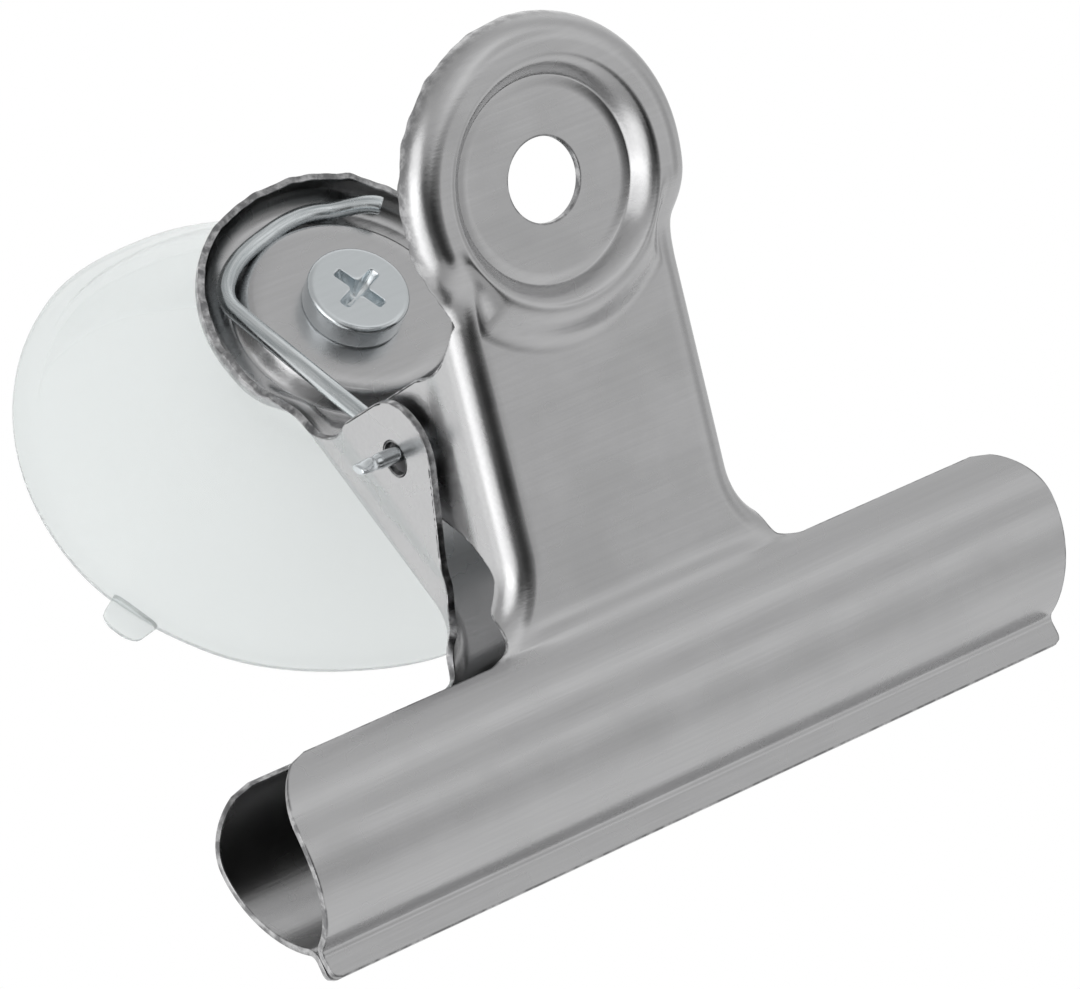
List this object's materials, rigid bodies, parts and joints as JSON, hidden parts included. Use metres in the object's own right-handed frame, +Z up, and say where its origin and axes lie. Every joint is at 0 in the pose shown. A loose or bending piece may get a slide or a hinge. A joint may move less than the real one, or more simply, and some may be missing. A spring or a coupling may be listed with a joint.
{
  "type": "suction cup clip",
  "caption": "Steel bulldog clip with a torsion spring, screwed to a clear vinyl suction cup for a wall or window.",
  "frame": {"origin": "centre of the suction face, on the cup's rim plane", "axes": "+X along the jaws, +Y out of the suction face into the wall, +Z up along the back plate"},
  "size_m": [0.0742, 0.0597, 0.0739],
  "materials": {
    "plated_steel": "satin",
    "zinc_wire": "bright",
    "clear_vinyl": "clear gloss"
  },
  "bodies": {
    "cup": {"suction_cup": "clear_vinyl", "mounting_screw": "zinc_wire"},
    "back_half": {"back_plate": "plated_steel", "hinge_pin": "zinc_wire", "torsion_spring": "zinc_wire"},
    "front_half": {"front_plate": "plated_steel"}
  },
  "joints": [
    {"name": "cup_swivel", "type": "hinge", "parent": "cup", "child": "back_half", "pos_m": [0, -0.019, 0], "axis": [0, 1, 0], "continuous": true},
    {"name": "jaw_hinge", "type": "hinge", "parent": "back_half", "child": "front_half", "pos_m": [0, -0.02996, -0.01866], "axis": [-1, 0, 0], "range_deg": [0, 75], "stiffness_Nm_per_rad": 0.35, "springref_deg": -60.16, "deforming": ["torsion_spring"]}
  ]
}
